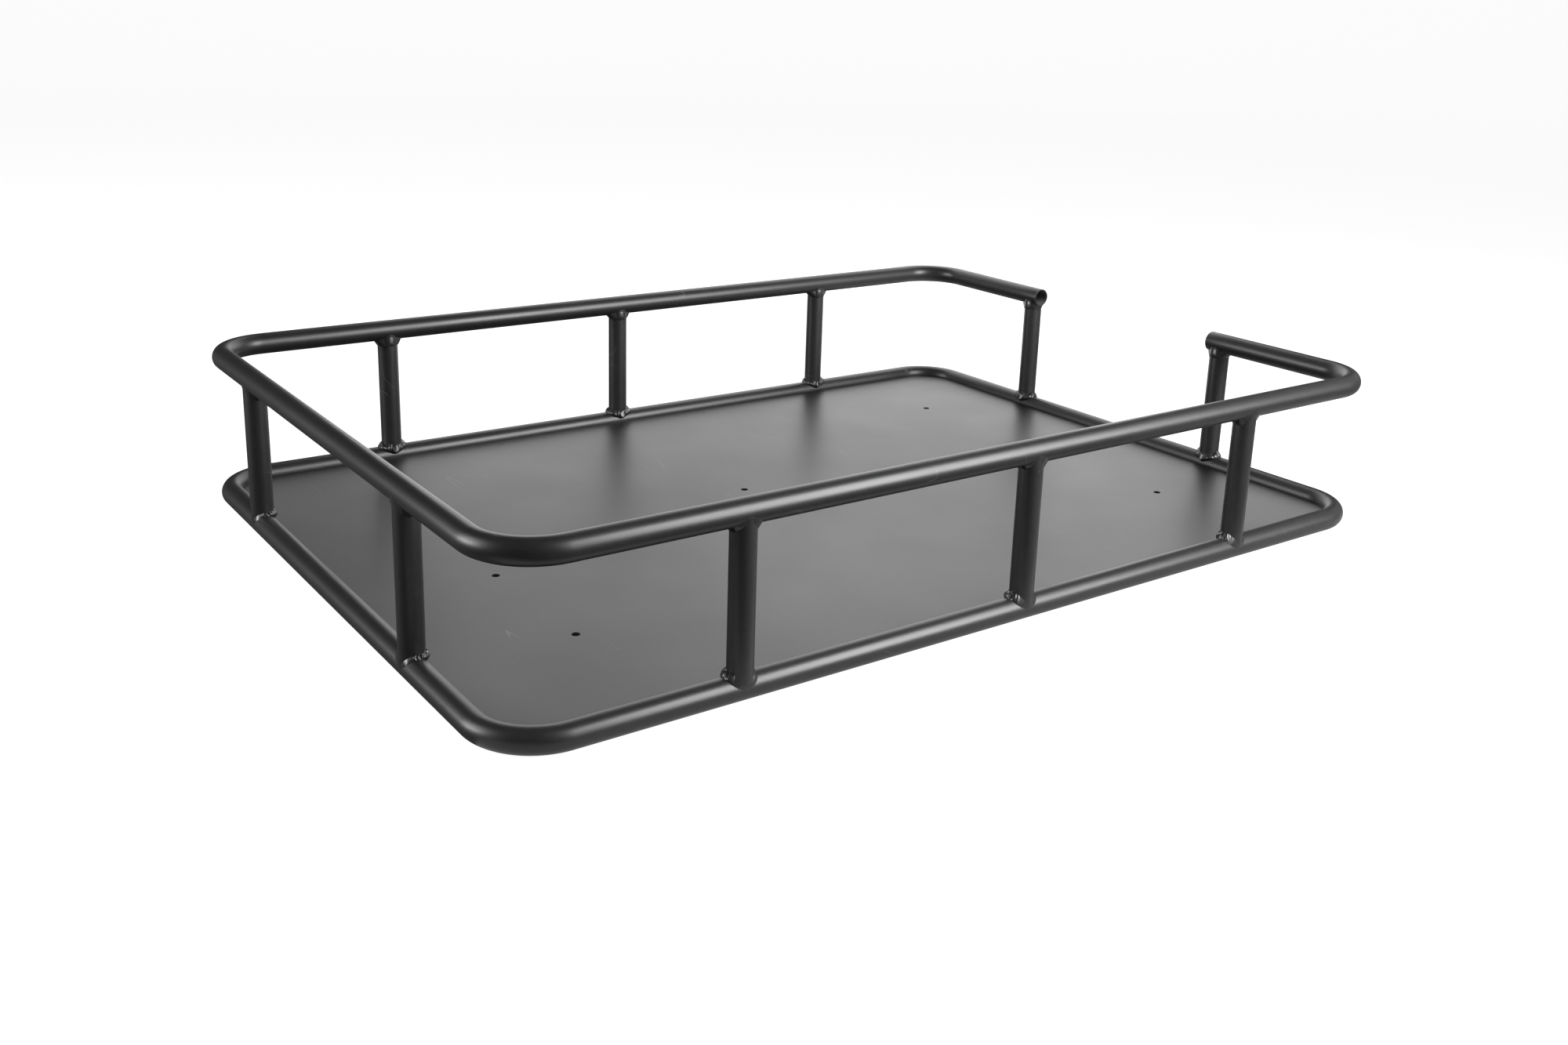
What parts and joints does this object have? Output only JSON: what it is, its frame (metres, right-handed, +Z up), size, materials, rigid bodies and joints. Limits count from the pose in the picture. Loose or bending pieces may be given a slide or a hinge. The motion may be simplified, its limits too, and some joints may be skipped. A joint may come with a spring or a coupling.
{
  "type": "luggage tray",
  "caption": "Rigid welded luggage tray: flat sheet deck inside a rounded steel tube ring, with upright posts carrying a guard rail that is open at an end.",
  "frame": {"origin": "centre of the footprint, level with the underside of the base ring", "axes": "+X along the tray towards the open end of the rail, +Y across the tray to the left of that direction, +Z up"},
  "size_m": [1.1776, 0.8336, 0.193],
  "materials": {
    "tube_coat": "satin black powder coat",
    "deck_coat": "satin black powder coat on flat sheet",
    "weld_coat": "satin black powder coat over weld beads"
  },
  "bodies": {
    "root": {"base_ring": "tube_coat", "top_rail": "tube_coat", "deck": "deck_coat", "post_back_left": "tube_coat", "post_back_middle": "tube_coat", "post_back_right": "tube_coat", "post_front_left": "tube_coat", "post_front_middle": "tube_coat", "post_front_right": "tube_coat", "post_closed_end_back": "tube_coat", "post_closed_end_front": "tube_coat", "post_open_end_back": "tube_coat", "post_open_end_front": "tube_coat", "foot_weld_back_left": "weld_coat", "foot_weld_back_middle": "weld_coat", "foot_weld_back_right": "weld_coat", "foot_weld_front_left": "weld_coat", "foot_weld_front_middle": "weld_coat", "foot_weld_front_right": "weld_coat", "foot_weld_closed_end_back": "weld_coat", "foot_weld_closed_end_front": "weld_coat", "foot_weld_open_end_back": "weld_coat", "foot_weld_open_end_front": "weld_coat", "head_weld_back_left": "weld_coat", "head_weld_back_middle": "weld_coat", "head_weld_back_right": "weld_coat", "head_weld_front_left": "weld_coat", "head_weld_front_middle": "weld_coat", "head_weld_front_right": "weld_coat", "head_weld_closed_end_back": "weld_coat", "head_weld_closed_end_front": "weld_coat", "head_weld_open_end_back": "weld_coat", "head_weld_open_end_front": "weld_coat", "deck_stitch_welds": "weld_coat"}
  },
  "joints": []
}
